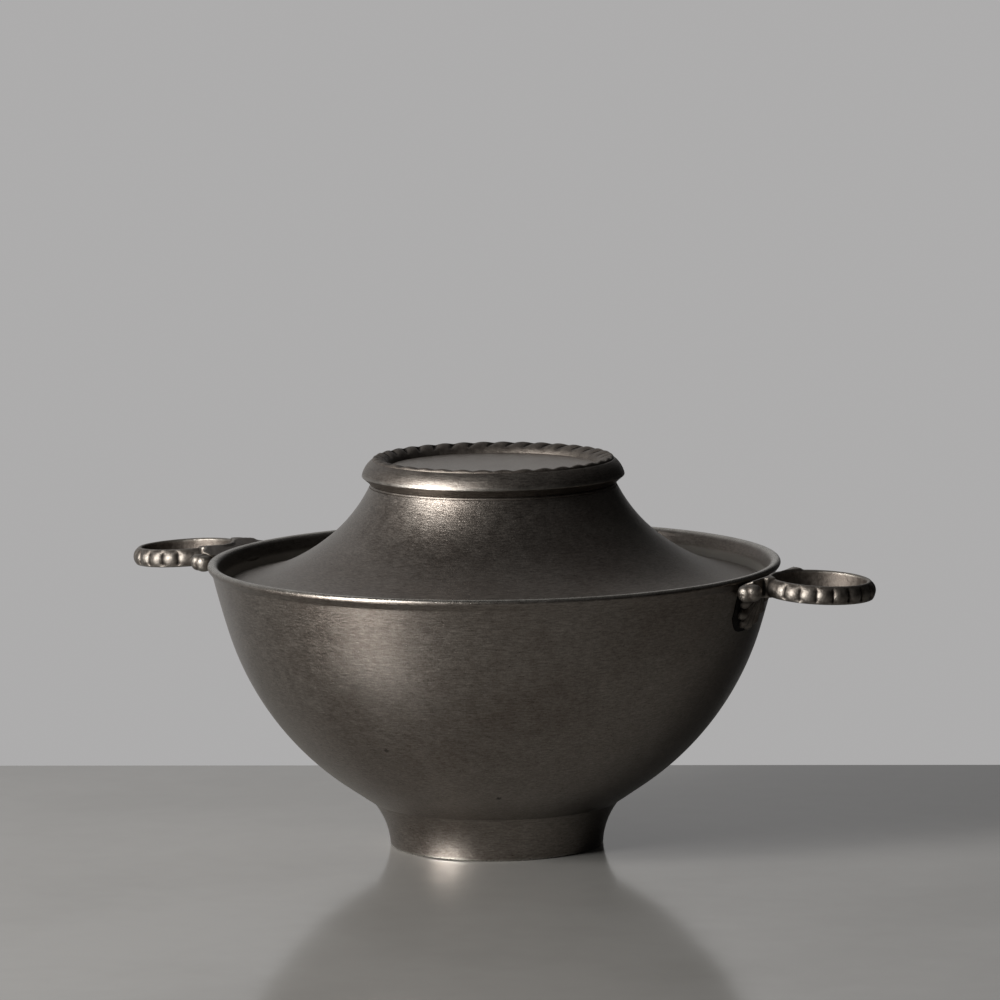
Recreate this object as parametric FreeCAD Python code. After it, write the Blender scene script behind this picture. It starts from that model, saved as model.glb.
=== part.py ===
"""Two-handled pewter sugar bowl with a lift-off lid.

The bowl is a spun shell on a spun foot ring. Two cast handles, each a ribbed finger ring on a yoke with
scrolled ends, are soldered to the wall just under the lip, with a cast palmette below each. The lid is a
spun bell that sits inside the mouth on a ledge. It carries a low hollow knob with a rope border round a sunk
disc.

The frame has its origin at the centre of the foot's resting circle, +Z up, and the handles along +X and -X.
Millimetres throughout. A profile is traced in the (r, z) plane by lines and tangent arcs. Its heading is in
degrees from straight up, turning outwards.
"""

import FreeCAD, Part
import math
import os

from FreeCAD import Placement, Rotation, Vector

# ---- driving dimensions: bowl ------------------------------------------------------------------
LIP_RADIUS = 60.0            # outermost radius of the bowl
WALL = 1.7                   # thickness of the spun wall
BOTTOM_Z = 5.0               # underside of the flat centre above the table
FLAT_RADIUS = 10.4           # flat centre, where the blank was clamped for spinning
KNUCKLE_RADIUS = 30.0        # bend from the flat centre to the flank
FLANK_HEADING = 55.5         # slope of the flank where the foot joins
FLANK_LENGTH = 5.5           # straight part of the flank above the foot
BELLY_RADIUS = 61.0
BELLY_TURN = 38.5
SIDE_RADIUS = 200.0          # the nearly straight side under the lip
SIDE_TURN = 3.5
FLARE_RADIUS = 1.2           # the lip turns out of the wall
FLARE_TURN = 25.0
LIP_BEAD_RADIUS = 0.8        # round of the lip's outer edge
LIP_INNER_RADIUS = 1.5       # softer round on the inside of the lip

# ---- driving dimensions: foot ------------------------------------------------------------------
FOOT_RADIUS = 22.4           # outside, at the table
FOOT_WALL = 1.6
FOOT_CURVE = 16.3            # hollow curve of the foot's outside
FOOT_HEADING = 4.0           # lean of the foot at the table
FOOT_TURN = 46.0
FOOT_FILLET = 1.4            # size of the solder fillet inside the foot
FOOT_FILLET_LEG = 1.2        # its legs, as a share of that size
FOOT_FILLET_LEAN = 0.3       # its foot follows the ring's inside in by this share

# ---- driving dimensions: lid -------------------------------------------------------------------
LID_EDGE_RADIUS = 56.0
LID_WALL = 1.4
LID_TOP_Z = 75.8
NECK_RADIUS = 25.95          # lid radius where the knob stands
NECK_HEADING = 153.4
UPPER_SWEEP_RADIUS = 32.5    # hollow sweep of the lid in two tangent arcs
UPPER_SWEEP_TURN = 23.4
LOWER_SWEEP_RADIUS = 43.0
LOWER_SWEEP_TURN = 30.0
SEAT_Z = 54.3                # flat underside of the lid's brim
SEAT_GAP = 0.05              # between the brim and the ledge
BEZEL_RADIUS = 53.2          # locating ring under the lid, outside
BEZEL_WALL = 1.1
BEZEL_DEPTH = 4.5
LEDGE_CLEARANCE = 0.3        # between the bezel and the ledge
LEDGE_THICKNESS = 1.5

# ---- driving dimensions: knob ------------------------------------------------------------------
KNOB_FOOT_RADIUS = 25.4
KNOB_RADIUS = 27.5           # widest, low on the band
KNOB_WIDEST_Z = 78.25
KNOB_WIDEST_HALF = 0.3       # half the height of the small round there
KNOB_WIDEST_ROUND = 0.15     # and its depth
BAND_CROWN = 0.15            # swell of the band's flank
BAND_TOP_WIDTH = 0.3         # narrow flat round the band's top
KNOB_TUCK_Z = 76.4           # the band tucks under to its foot here
KNOB_BORE = 23.9             # inside of the band, which holds the disc
BAND_TOP_RADIUS = 25.45
BAND_TOP_Z = 81.35
DISC_TOP_Z = 80.0
DISC_THICKNESS = 1.2
ROPE_CREST_RADIUS = 24.4
ROPE_CREST_Z = 82.1
ROPE_INNER_RADIUS = 21.5
ROPE_STRANDS = 36
ROPE_GROOVE_RADIUS = 0.75
ROPE_GROOVE_DEPTH = 0.35
ROPE_GROOVE_LENGTH = 8.0
ROPE_TWIST = 35.0            # lean of the strands from the radius
ROPE_OUTER_SWELL = (0.15, 0.2)    # the outer slope's middle, inside its foot and under its crest
ROPE_INNER_SWELL = (0.25, 0.3)    # the inner slope's middle, in from and over its chord
KNOB_BEAD = 0.5              # legs of the solder bead round the knob's foot

# ---- driving dimensions: handles ---------------------------------------------------------------
RING_CENTRE_RADIUS = 73.1    # from the bowl's axis to the finger ring's centre
RING_CENTRE_Z = 57.9
RING_DROOP = 3.3             # degrees that the handle falls outwards
RING_OUTER = 11.6
RING_CREST = 9.9             # radius of the ring's top edge
RING_BORE = 8.7              # smallest radius of the finger hole, at the bottom
RING_HEIGHT = 3.85
RING_CREST_WIDTH = 0.35      # flat along the top edge
RING_FOOT_INSET = 0.55       # the bottom corner is this much inside RING_OUTER
RING_WIDEST_SHARE = -0.1     # height of the widest place, as a share of RING_HEIGHT
RING_BORE_SWELL = 0.2        # the inner side is this much hollower than a cone
RIB_STEP = 18.0              # degrees from rib to rib
RIB_LAST = 117.0             # the outermost grooves, in degrees from the handle's tip
GROOVE_RADIUS = 0.75
GROOVE_DEPTH = 0.55
YOKE_LOW_Z = 56.3            # the yoke lies level along the wall, just under the lip
YOKE_HIGH_Z = 59.0
YOKE_DEPTH = 6.0             # from the volutes in to where the wall trims it
NECK_HALF_WIDTH = 9.0        # where the yoke's sides run into the ring
NECK_OVERLAP = 0.5           # the yoke runs this far into the ring
NOTCH_DEPTH = 0.4            # hollow of those sides, along X and along Y
VOLUTE_SPREAD = 11.6         # degrees round the bowl from the handle's middle to a volute
VOLUTE_RADIUS_AT = 63.5      # radius from the bowl's axis to a volute's centre
VOLUTE_RADIUS = 1.6
VOLUTE_RISE = 0.2            # a volute stands this much over and under the yoke
VOLUTE_ROUND = 0.5
SOLDER_GAP = 0.25            # solder between the wall and each casting
PALMETTE_RIBS = 7
PALMETTE_STEP = 20.0         # degrees from rib to rib
PALMETTE_LENGTH = 6.0        # of the middle rib, less its round end
PALMETTE_SIDE_SHARE = 0.72   # how short a rib would be that ran level
PALMETTE_LEAN = 2.0          # degrees that the fan leans in past the wall's own slope
PALMETTE_ROOT = 0.75         # radius of a rib at the top
PALMETTE_TIP = 1.25
PALMETTE_HALF_WIDTH = 4.6    # of the bed of solder behind it
LEFT_HANDLE_TURN = 178.8     # degrees round from the right handle, which is a little out of line

AXIS = Vector(0, 0, 1)
ORIGIN = Vector(0, 0, 0)


# ---- profiles ----------------------------------------------------------------------------------
def at(r, z):
    return Vector(r, 0, z)


def arc(first, middle, last):
    return Part.Arc(at(*first), at(*middle), at(*last)).toShape()


def trace(start, heading, legs):
    """The edges of a profile and its end point.

    A leg is (length,) for a line or (radius, turn) for an arc.
    """
    r, z = start
    edges = []
    for leg in legs:
        a = math.radians(heading)
        if len(leg) == 1:
            end = (r + leg[0] * math.sin(a), z + leg[0] * math.cos(a))
            edges.append(Part.makeLine(at(r, z), at(*end)))
        else:
            radius, turn = leg
            side = 1 if turn > 0 else -1
            points = []
            for share in (0.5, 1.0):
                b = a + math.radians(turn) * share
                points.append((r + side * radius * (math.cos(a) - math.cos(b)),
                               z + side * radius * (math.sin(b) - math.sin(a))))
            end = points[1]
            edges.append(arc((r, z), points[0], end))
            heading += turn
        r, z = end
    return edges, end


def offset(start, heading, legs, distance):
    """Start and legs of the profile moved to its left by distance (to its right if negative)."""
    a = math.radians(heading)
    moved = (start[0] - distance * math.cos(a), start[1] + distance * math.sin(a))
    parallel = []
    for leg in legs:
        if len(leg) == 2:
            radius, turn = leg
            leg = (radius + math.copysign(1, turn) * distance, turn)
        parallel.append(leg)
    return moved, parallel


def lines(*points):
    return [Part.makeLine(at(*a), at(*b)) for a, b in zip(points, points[1:])]


def turned(edges):
    """The solid that a closed profile makes when it is turned about the object's axis."""
    face = Part.Face(Part.Wire(Part.sortEdges(edges)[0]))
    return face.revolve(ORIGIN, AXIS, 360)


def ring_of(r0, r1, z0, z1):
    return turned(lines((r0, z0), (r1, z0), (r1, z1), (r0, z1), (r0, z0)))


# ---- bowl --------------------------------------------------------------------------------------
BOWL_START = (0.0, BOTTOM_Z)
BOWL_LEGS = [
    (FLAT_RADIUS,),
    (KNUCKLE_RADIUS, FLANK_HEADING - 90.0),
    (FLANK_LENGTH,),
    (BELLY_RADIUS, -BELLY_TURN),
    (SIDE_RADIUS, -SIDE_TURN),
]
SIDE_HEADING = FLANK_HEADING - BELLY_TURN - SIDE_TURN


def lip_legs():
    """The lip from the top of the outer wall over its crest: a flare, a straight edge and a bead."""
    _, wall_end = trace(BOWL_START, 90.0, BOWL_LEGS)
    slope = math.radians(SIDE_HEADING + FLARE_TURN)
    flare_out = FLARE_RADIUS * (math.cos(math.radians(SIDE_HEADING)) - math.cos(slope))
    bead_out = LIP_BEAD_RADIUS * (1 - math.cos(slope))
    edge = (LIP_RADIUS - wall_end[0] - flare_out - bead_out) / math.sin(slope)
    return [
        (FLARE_RADIUS, FLARE_TURN),
        (edge,),
        (LIP_BEAD_RADIUS, -90.0 - SIDE_HEADING - FLARE_TURN),
    ]


def bowl_shell():
    over_lip = BOWL_LEGS + lip_legs() + [(LIP_INNER_RADIUS, SIDE_HEADING - 90.0)]
    outer, lip_end = trace(BOWL_START, 90.0, over_lip)
    inner_start, inner_legs = offset(BOWL_START, 90.0, BOWL_LEGS, WALL)
    inner, inner_end = trace(inner_start, 90.0, inner_legs)
    return turned(outer + lines(lip_end, inner_end) + inner + lines(inner_start, BOWL_START))


def bowl_blank(grow=0.0):
    """The bowl's outside up to the lip's crest as one filled solid, grown outwards by grow."""
    start, legs = offset(BOWL_START, 90.0, BOWL_LEGS + lip_legs(), -grow)
    edges, end = trace(start, 90.0, legs)
    return turned(edges + lines(end, (0, end[1]), start))


def bowl_cavity():
    start, legs = offset(BOWL_START, 90.0, BOWL_LEGS, WALL)
    edges, end = trace(start, 90.0, legs)
    return turned(edges + lines(end, (0, end[1]), start))


def lid_seat_ring():
    top = SEAT_Z - SEAT_GAP
    inner = BEZEL_RADIUS + LEDGE_CLEARANCE
    return ring_of(inner, LIP_RADIUS, top - LEDGE_THICKNESS, top).common(bowl_cavity())


# ---- foot --------------------------------------------------------------------------------------
FOOT_START = (FOOT_RADIUS, 0.0)
FOOT_LEGS = [(FOOT_CURVE, FOOT_TURN), (FOOT_WALL,)]


def foot_inside():
    start, legs = offset(FOOT_START, FOOT_HEADING, FOOT_LEGS, FOOT_WALL)
    start = (start[0], 0.0)
    edges, end = trace(start, FOOT_HEADING, legs)
    return start, edges, end


def foot_blank():
    outer, outer_end = trace(FOOT_START, FOOT_HEADING, FOOT_LEGS)
    inner_start, inner, inner_end = foot_inside()
    return turned(outer + lines(outer_end, inner_end) + inner + lines(inner_start, FOOT_START))


def foot_ring():
    return foot_blank().cut(bowl_blank())


def foot_solder():
    """A fillet in the corner between the foot's inside and the bowl's underside."""
    _, inner, _ = foot_inside()
    underside, _ = trace(BOWL_START, 90.0, BOWL_LEGS[:2])
    corner = inner[0].distToShape(underside[1])[1][0][0]
    low = (corner.x - FOOT_FILLET_LEAN * FOOT_FILLET, corner.z - FOOT_FILLET_LEG * FOOT_FILLET)
    high = (corner.x - FOOT_FILLET_LEG * FOOT_FILLET, corner.z)
    wedge = turned(lines(low, (corner.x + FOOT_FILLET / 2, corner.z), high, low))
    return wedge.cut(foot_blank()).cut(bowl_blank())


# ---- lid ---------------------------------------------------------------------------------------
LID_START = (NECK_RADIUS, LID_TOP_Z)
LID_SWEEP = [(UPPER_SWEEP_RADIUS, -UPPER_SWEEP_TURN), (LOWER_SWEEP_RADIUS, -LOWER_SWEEP_TURN)]
BRIM_HEADING = NECK_HEADING - UPPER_SWEEP_TURN - LOWER_SWEEP_TURN


def lid_legs():
    """The lid's flank: the hollow sweep, then a straight brim out to the edge."""
    _, sweep_end = trace(LID_START, NECK_HEADING, LID_SWEEP)
    brim = (LID_EDGE_RADIUS - sweep_end[0]) / math.sin(math.radians(BRIM_HEADING))
    return LID_SWEEP + [(brim,)]


def lid_cavity():
    """The hollow under the lid, inside the brim's flat seat."""
    start, legs = offset(LID_START, NECK_HEADING, lid_legs(), -LID_WALL)
    edges, end = trace(start, NECK_HEADING, legs)
    below = SEAT_Z - BEZEL_DEPTH
    space = turned(edges + lines(end, (end[0], below), (0, below), (0, start[1]), start))
    return space.common(ring_of(0, BEZEL_RADIUS, below, LID_TOP_Z - LID_WALL))


def lid_shell():
    edges, end = trace(LID_START, NECK_HEADING, lid_legs())
    blank = turned(edges + lines(end, (LID_EDGE_RADIUS, SEAT_Z), (0, SEAT_Z), (0, LID_TOP_Z), LID_START))
    return blank.cut(lid_cavity())


def lid_bezel():
    band = ring_of(BEZEL_RADIUS - BEZEL_WALL, BEZEL_RADIUS, SEAT_Z - BEZEL_DEPTH, LID_TOP_Z)
    return band.common(lid_cavity())


# ---- knob --------------------------------------------------------------------------------------
def knob_band():
    shoulder = KNOB_RADIUS - KNOB_WIDEST_ROUND
    widest_low = (shoulder, KNOB_WIDEST_Z - KNOB_WIDEST_HALF)
    widest_high = (shoulder, KNOB_WIDEST_Z + KNOB_WIDEST_HALF)
    middle_r = (KNOB_RADIUS + BAND_TOP_RADIUS) / 2 + BAND_CROWN
    top_outer = (BAND_TOP_RADIUS, BAND_TOP_Z)
    bore_top = (KNOB_BORE, DISC_TOP_Z)
    foot = (KNOB_FOOT_RADIUS, LID_TOP_Z)
    edges = lines(bore_top, (KNOB_BORE, LID_TOP_Z), foot, (KNOB_FOOT_RADIUS, KNOB_TUCK_Z), widest_low)
    edges.append(arc(widest_low, (KNOB_RADIUS, KNOB_WIDEST_Z), widest_high))
    edges.append(arc(widest_high, (middle_r, (KNOB_WIDEST_Z + BAND_TOP_Z) / 2), top_outer))
    edges += lines(top_outer, (BAND_TOP_RADIUS - BAND_TOP_WIDTH, BAND_TOP_Z), bore_top)
    return turned(edges)


def knob_disc():
    return ring_of(0, KNOB_BORE, DISC_TOP_Z - DISC_THICKNESS, DISC_TOP_Z)


def knob_solder():
    """The bead of solder round the knob's foot, on the lid's flat top."""
    corner = (KNOB_FOOT_RADIUS, LID_TOP_Z)
    out = (KNOB_FOOT_RADIUS + KNOB_BEAD, LID_TOP_Z)
    up = (KNOB_FOOT_RADIUS, LID_TOP_Z + KNOB_BEAD)
    return turned(lines(corner, out, up, corner))


def knob_rope_border():
    """The raised border, with a groove between each two strands."""
    crest = (ROPE_CREST_RADIUS, ROPE_CREST_Z)
    outer = (BAND_TOP_RADIUS - BAND_TOP_WIDTH, BAND_TOP_Z)
    inner = (ROPE_INNER_RADIUS, DISC_TOP_Z)
    outer_middle = (outer[0] - ROPE_OUTER_SWELL[0], crest[1] - ROPE_OUTER_SWELL[1])
    inner_middle = ((crest[0] + inner[0]) / 2 - ROPE_INNER_SWELL[0],
                    (crest[1] + inner[1]) / 2 + ROPE_INNER_SWELL[1])
    slopes = [arc(outer, outer_middle, crest), arc(crest, inner_middle, inner)]
    border = turned(slopes + lines(inner, (KNOB_BORE, DISC_TOP_Z), outer))
    slope = math.atan2(crest[1] - inner[1], crest[0] - inner[0])
    start = Vector(-ROPE_GROOVE_LENGTH / 2, 0, 0)
    groove = Part.makeCylinder(ROPE_GROOVE_RADIUS, ROPE_GROOVE_LENGTH, start, Vector(1, 0, 0))
    raised = ROPE_GROOVE_RADIUS - ROPE_GROOVE_DEPTH
    middle = at(inner_middle[0] - raised * math.sin(slope), inner_middle[1] + raised * math.cos(slope))
    lean = Rotation(Vector(0, 1, 0), -math.degrees(slope)) * Rotation(AXIS, ROPE_TWIST)
    cutters = []
    for i in range(ROPE_STRANDS):
        cutter = groove.copy()
        turn = Placement(ORIGIN, Rotation(AXIS, 360.0 * i / ROPE_STRANDS))
        cutter.Placement = turn * Placement(middle, lean)
        cutters.append(cutter)
    return border.cut(cutters)


# ---- handles -----------------------------------------------------------------------------------
def on_handle(shape):
    """Moves a shape from the finger ring's own frame, with X outwards, to the +X side of the bowl."""
    droop = Rotation(Vector(0, 1, 0), RING_DROOP)
    moved = shape.copy()
    moved.Placement = Placement(Vector(RING_CENTRE_RADIUS, 0, RING_CENTRE_Z), droop)
    return moved


def finger_ring():
    """A ring with a round outside and a tapered bore, grooved between its ribs."""
    z_top = RING_HEIGHT / 2
    z_bottom = -z_top
    crest = (RING_CREST + RING_CREST_WIDTH, z_top)
    widest = (RING_OUTER, RING_WIDEST_SHARE * RING_HEIGHT)
    foot = (RING_OUTER - RING_FOOT_INSET, z_bottom)
    inner_low = (RING_BORE, z_bottom)
    inner_high = (RING_CREST, z_top)
    inner_middle = ((RING_BORE + RING_CREST) / 2 + RING_BORE_SWELL, 0)
    sides = [arc(crest, widest, foot), arc(inner_low, inner_middle, inner_high)]
    ring = turned(sides + lines(foot, inner_low) + lines(inner_high, crest))
    lean = math.degrees(math.atan2(foot[0] - crest[0], RING_HEIGHT))
    middle = Vector(RING_OUTER + GROOVE_RADIUS - GROOVE_DEPTH, 0, 0)
    length = 2 * RING_HEIGHT
    groove = Part.makeCylinder(GROOVE_RADIUS, length, Vector(0, 0, -length / 2), AXIS)
    place = Placement(middle, Rotation(Vector(0, 1, 0), -lean))
    cutters = []
    for i in range(int(2 * RIB_LAST / RIB_STEP) + 1):
        cutter = groove.copy()
        cutter.Placement = Placement(ORIGIN, Rotation(AXIS, i * RIB_STEP - RIB_LAST)) * place
        cutters.append(cutter)
    return ring.cut(cutters)


def volute_centre(side):
    a = math.radians(VOLUTE_SPREAD)
    return Vector(VOLUTE_RADIUS_AT * math.cos(a), side * VOLUTE_RADIUS_AT * math.sin(a), 0)


def yoke_side(side):
    """Plan of one side of the yoke: a hollow sweep from the volute to the finger ring."""
    tip = volute_centre(side)
    neck_x = RING_CENTRE_RADIUS - math.sqrt(RING_OUTER ** 2 - NECK_HALF_WIDTH ** 2)
    at_volute = Vector(tip.x + VOLUTE_RADIUS / 2, tip.y - side * VOLUTE_RADIUS / 2, 0)
    at_ring = Vector(neck_x + NECK_OVERLAP, side * NECK_HALF_WIDTH, 0)
    middle = (at_volute + at_ring) / 2 - Vector(NOTCH_DEPTH, side * NOTCH_DEPTH, 0)
    return at_volute, middle, at_ring


def yoke():
    """The bar along the wall, with a rolled volute at each end."""
    near = yoke_side(-1)
    far = yoke_side(1)
    back_near = Vector(near[0].x - YOKE_DEPTH, near[0].y, 0)
    back_far = Vector(far[0].x - YOKE_DEPTH, far[0].y, 0)
    outline = Part.Wire([
        Part.Arc(*near).toShape(),
        Part.makeLine(near[2], far[2]),
        Part.Arc(*reversed(far)).toShape(),
        Part.makeLine(far[0], back_far),
        Part.makeLine(back_far, back_near),
        Part.makeLine(back_near, near[0]),
    ])
    outline.translate(Vector(0, 0, YOKE_LOW_Z))
    bar = Part.Face(outline).extrude(Vector(0, 0, YOKE_HIGH_Z - YOKE_LOW_Z))
    volutes = []
    height = YOKE_HIGH_Z - YOKE_LOW_Z + 2 * VOLUTE_RISE
    for side in (-1, 1):
        foot = volute_centre(side) + Vector(0, 0, YOKE_LOW_Z - VOLUTE_RISE)
        roll = Part.makeCylinder(VOLUTE_RADIUS, height, foot, AXIS)
        rims = [e for e in roll.Edges if e.Curve.TypeId == "Part::GeomCircle"]
        volutes.append(roll.makeFillet(VOLUTE_ROUND, rims))
    return bar.fuse(volutes)


def handle():
    """Ring and yoke as one casting, fitted round the wall and under the lip with room for the solder."""
    bottom = Vector(0, 0, -RING_HEIGHT / 2)
    finger_hole = on_handle(Part.makeCone(RING_BORE, RING_CREST, RING_HEIGHT, bottom, AXIS))
    casting = yoke().cut(finger_hole).fuse(on_handle(finger_ring()))
    return casting.cut(bowl_blank(SOLDER_GAP))


def palmette(casting):
    """Seven tapered ribs that fan down the wall from under the yoke."""
    _, wall_end = trace(BOWL_START, 90.0, BOWL_LEGS)
    lean = SIDE_HEADING + PALMETTE_LEAN
    drop = wall_end[1] - YOKE_LOW_Z
    wall_r = wall_end[0] - drop * math.tan(math.radians(SIDE_HEADING))
    root = Vector(wall_r + SOLDER_GAP, 0, YOKE_LOW_Z)
    ribs = []
    for i in range(PALMETTE_RIBS):
        angle = (i - (PALMETTE_RIBS - 1) / 2) * PALMETTE_STEP
        upright = math.cos(math.radians(angle))
        length = PALMETTE_LENGTH * (PALMETTE_SIDE_SHARE + (1 - PALMETTE_SIDE_SHARE) * upright)
        rib = Part.makeCone(PALMETTE_ROOT, PALMETTE_TIP, length, ORIGIN, Vector(0, 0, -1))
        rib = rib.fuse(Part.makeSphere(PALMETTE_TIP, Vector(0, 0, -length)))
        rib.Placement = Placement(root, Rotation(Vector(0, 1, 0), lean) * Rotation(Vector(1, 0, 0), angle))
        ribs.append(rib)
    return ribs[0].fuse(ribs[1:]).cut(bowl_blank(SOLDER_GAP)).cut(casting)


def handle_solder():
    """The thin bed of solder between the wall and the two castings."""
    tip = volute_centre(1)
    middle = LIP_RADIUS / 2
    bar_corner = Vector(middle, -tip.y, YOKE_LOW_Z)
    bar = Part.makeBox(middle, 2 * tip.y, YOKE_HIGH_Z - YOKE_LOW_Z, bar_corner)
    bed_corner = Vector(middle, -PALMETTE_HALF_WIDTH, YOKE_LOW_Z - PALMETTE_LENGTH)
    bed = Part.makeBox(middle, 2 * PALMETTE_HALF_WIDTH, PALMETTE_LENGTH, bed_corner)
    return bar.fuse(bed).common(bowl_blank(SOLDER_GAP)).cut(bowl_blank())


def turned_round(shape, degrees):
    moved = shape.copy()
    moved.rotate(ORIGIN, AXIS, degrees)
    return moved


# ---- export ------------------------------------------------------------------------------------
def write(name, shape):
    solids = shape.Solids
    kept = solids[0] if len(solids) == 1 else Part.makeCompound(solids)
    kept.exportStep(os.path.join("parts", name + ".step"))
    box = kept.optimalBoundingBox(True, False)
    print("%-20s %d solid, %9.1f mm3, valid %s, z %.2f to %.2f, x to %.2f" % (
        name, len(solids), kept.Volume, kept.isValid(), box.ZMin, box.ZMax, box.XMax))


def main():
    os.makedirs("parts", exist_ok=True)
    write("bowl_shell", bowl_shell())
    write("foot_ring", foot_ring())
    write("foot_solder", foot_solder())
    write("lid_seat_ring", lid_seat_ring())
    casting = handle()
    fan = palmette(casting)
    bed = handle_solder()
    for side, turn in (("right", 0.0), ("left", LEFT_HANDLE_TURN)):
        write("handle_" + side, turned_round(casting, turn))
        write("palmette_" + side, turned_round(fan, turn))
        write("handle_solder_" + side, turned_round(bed, turn))
    write("lid_shell", lid_shell())
    write("lid_bezel", lid_bezel())
    write("knob_band", knob_band())
    write("knob_disc", knob_disc())
    write("knob_rope_border", knob_rope_border())
    write("knob_solder", knob_solder())


main()
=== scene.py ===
"""Two-handled pewter sugar bowl with a lift-off lid: its finished surfaces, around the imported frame.

The bowl, foot, lid and knob are turned pieces, and the handles, palmettes and rope border are castings.
Profiles are in millimetres in the (radius, height) plane of the bowl's axis, and every mesh is in metres.
"""

import math

import bmesh
import bpy
import numpy as np
from mathutils import Matrix, Vector


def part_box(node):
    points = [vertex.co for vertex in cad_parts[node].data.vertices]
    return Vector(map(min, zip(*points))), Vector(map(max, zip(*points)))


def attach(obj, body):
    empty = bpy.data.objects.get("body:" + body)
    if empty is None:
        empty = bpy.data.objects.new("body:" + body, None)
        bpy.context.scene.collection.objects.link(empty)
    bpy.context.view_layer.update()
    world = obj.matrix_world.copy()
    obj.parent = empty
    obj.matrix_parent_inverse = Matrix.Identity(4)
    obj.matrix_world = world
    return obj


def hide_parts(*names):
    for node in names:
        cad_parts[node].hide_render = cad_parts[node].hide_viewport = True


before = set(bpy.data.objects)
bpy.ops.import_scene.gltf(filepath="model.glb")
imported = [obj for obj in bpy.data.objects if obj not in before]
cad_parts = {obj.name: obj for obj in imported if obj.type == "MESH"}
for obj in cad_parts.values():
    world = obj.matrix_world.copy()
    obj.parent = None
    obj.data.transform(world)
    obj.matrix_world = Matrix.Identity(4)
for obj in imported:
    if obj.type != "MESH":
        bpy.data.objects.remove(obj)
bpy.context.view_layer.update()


# ==== bowl shell ================================================================================
# One sheet of pewter spun over a chuck, with a flat centre where the blank was clamped. The spinner turned
# the lip out and rounded it, and left fine lines round the wall. The metal has gone dark except on the lip.
MM = 0.001
LIP_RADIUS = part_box("bowl_shell")[1].x / MM
BOWL_BASE_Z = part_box("bowl_shell")[0].z / MM
BOWL_TOP_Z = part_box("bowl_shell")[1].z / MM
BOWL_WALL = 1.7
FLAT_RADIUS = 10.4
KNUCKLE_RADIUS = 30.0
FLANK_HEADING = 55.5
FLANK_LENGTH = 5.5
BELLY_RADIUS = 61.0
BELLY_TURN = 38.5
SIDE_RADIUS = 200.0
SIDE_TURN = 3.5
SIDE_HEADING = FLANK_HEADING - BELLY_TURN - SIDE_TURN
FLARE_RADIUS = 1.2
FLARE_TURN = 25.0
LIP_BEAD_RADIUS = 0.8
LIP_INNER_RADIUS = 1.5
LIP_STEP = 0.15
LIP_RUBBED = ("height", BOWL_TOP_Z - 0.75, BOWL_TOP_Z - 0.1, 1.0)
PIT_IN_WALL = ((14.9, -31.6, 15.5), 0.7, 0.95)
SCRATCH_IN_WALL = ((-3.7, -45.7, 26.6), 0.8, 0.6)
INSIDE_FROM = 94.0
BOWL_SEGMENTS = 320


class Wire:
    """A socket of a node tree, which can be used in sums."""

    def __init__(self, tree, socket):
        self.tree = tree
        self.socket = socket

    def sum(self, operation, *terms):
        return self.tree.node("ShaderNodeMath", {"operation": operation}, dict(enumerate(terms)))

    def __add__(self, other):
        return self.sum("ADD", self, other)

    def __radd__(self, other):
        return self.sum("ADD", other, self)

    def __sub__(self, other):
        return self.sum("SUBTRACT", self, other)

    def __rsub__(self, other):
        return self.sum("SUBTRACT", other, self)

    def __mul__(self, other):
        return self.sum("MULTIPLY", self, other)

    def __rmul__(self, other):
        return self.sum("MULTIPLY", other, self)

    def __truediv__(self, other):
        return self.sum("DIVIDE", self, other)

    def __pow__(self, other):
        return self.sum("POWER", self, other)

    def beside(self, name):
        """Another output of the same node."""
        return Wire(self.tree, self.socket.node.outputs[name])

    def step(self, low, high):
        """0 below low, 1 above high and smooth between, or the reverse where low is above high."""
        return self.tree.node("ShaderNodeMapRange", {"interpolation_type": "SMOOTHSTEP"},
                              {"Value": self, "From Min": low, "From Max": high})


class Tree:
    """A node tree that is being built."""

    def __init__(self, nodes):
        self.nodes = nodes

    def node(self, kind, settings=None, sockets=None, out=0):
        """A new node with its settings and sockets filled in, as the wire of one of its outputs."""
        made = self.nodes.nodes.new(kind)
        for name, value in (settings or {}).items():
            setattr(made, name, value)
        inputs = {socket.identifier: socket for socket in made.inputs}
        for name, value in (sockets or {}).items():
            socket = inputs[name] if name in inputs else made.inputs[name]
            if isinstance(value, Wire):
                self.nodes.links.new(value.socket, socket)
            else:
                socket.default_value = value
        outputs = {socket.identifier: socket for socket in made.outputs}
        if not outputs:
            return None
        return Wire(self, outputs[out] if out in outputs else made.outputs[out])

    def split(self, vector):
        parts = self.node("ShaderNodeSeparateXYZ", None, {0: vector})
        return parts, parts.beside("Y"), parts.beside("Z")

    def join(self, x, y, z):
        return self.node("ShaderNodeCombineXYZ", None, {0: x, 1: y, 2: z})

    def noise(self, vector, scale, detail=2.0, roughness=0.5):
        return self.node("ShaderNodeTexNoise", None,
                         {"Vector": vector, "Scale": scale, "Detail": detail, "Roughness": roughness})

    def blend(self, share, first, second, way="MIX"):
        """Two colours put together."""
        first, second = (c if isinstance(c, Wire) else (*c, 1.0) for c in (first, second))
        return self.node("ShaderNodeMix", {"data_type": "RGBA", "blend_type": way},
                         {"Factor_Float": share, "A_Color": first, "B_Color": second}, "Result_Color")


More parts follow.
